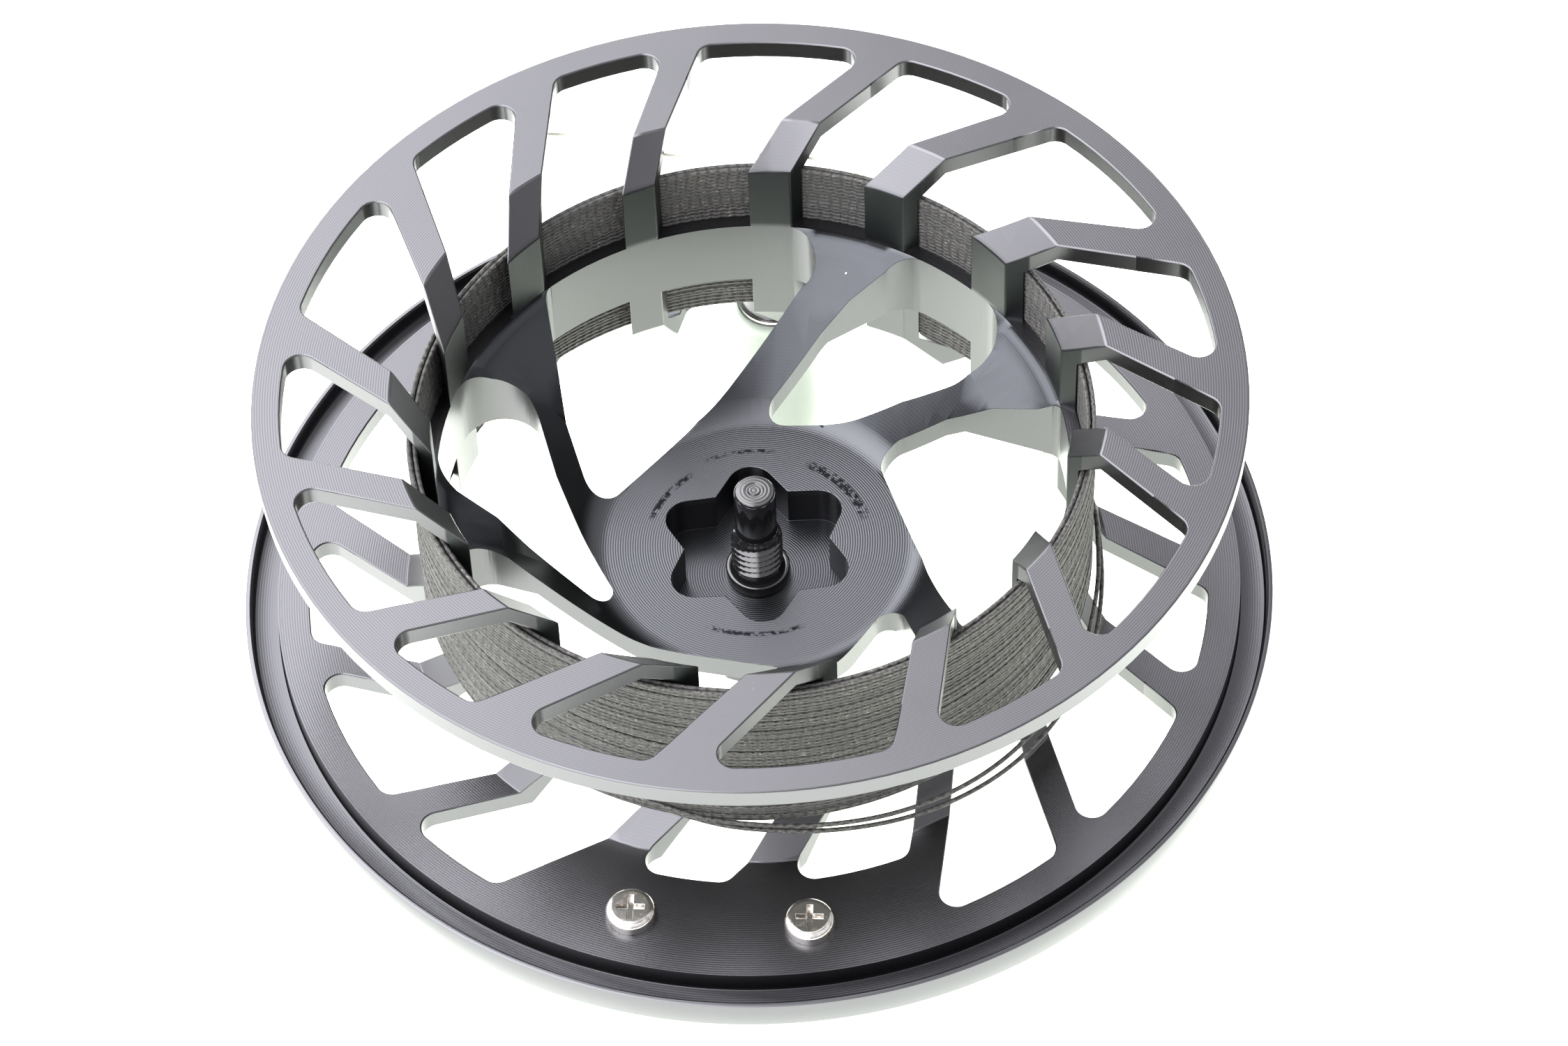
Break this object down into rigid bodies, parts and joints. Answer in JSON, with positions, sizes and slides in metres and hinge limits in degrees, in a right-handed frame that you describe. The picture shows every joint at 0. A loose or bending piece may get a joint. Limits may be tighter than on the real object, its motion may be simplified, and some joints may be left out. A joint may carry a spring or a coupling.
{
  "type": "fly reel spool",
  "caption": "Large-arbor reel spool: slotted flanges, dished six-spoke hub with lobed drive socket, screw release, balance weight, turning handle and a thin layer of wound backing.",
  "frame": {"origin": "on the spool's axis, in the plane of the hub's seat disc", "axes": "+Z along the spool axis towards the reel frame, away from the handle; +Y from the axis to the handle; +X completes a right-handed set"},
  "size_m": [0.1, 0.1, 0.0563],
  "materials": {
    "spool_metal": "satin dark anodised",
    "screw_black": "gloss black",
    "steel": "polished",
    "braid": "woven, matte",
    "tag": "matte",
    "knob": "satin",
    "bush": "matte",
    "cap": "satin black",
    "weight": "satin dark anodised"
  },
  "bodies": {
    "spool": {"frame_side_rim": "spool_metal", "frame_side_ribs": "spool_metal", "arbor_band": "spool_metal", "hub_spider": "spool_metal", "handle_side_ribs": "spool_metal", "handle_side_rim": "spool_metal", "palming_rim": "spool_metal", "handle_post": "steel", "handle_ferrule": "spool_metal", "handle_washer": "steel", "handle_end_screw": "steel", "balance_weight": "weight", "weight_screws": "steel", "backing": "braid", "loose_wrap_a": "braid", "loose_wrap_b": "braid", "tag_strand": "tag"},
    "knob": {"handle_knob": "knob", "handle_bush_upper": "bush", "handle_bush_lower": "bush"},
    "float": {"thrust_washer": "steel"},
    "lock": {"release_screw": "screw_black", "retaining_collar": "screw_black", "release_cap": "cap"}
  },
  "joints": [
    {"name": "knob_spin", "type": "hinge", "parent": "spool", "child": "knob", "pos_m": [0, 0.0415, -0.022], "axis": [0, 0, 1], "continuous": true},
    {"name": "lock_float", "type": "slide", "parent": "spool", "child": "float", "axis": [0, 0, 1], "range_m": [0, 0.001]},
    {"name": "lock_spin", "type": "hinge", "parent": "float", "child": "lock", "pos_m": [0, 0, 0], "axis": [0, 0, 1], "continuous": true}
  ]
}
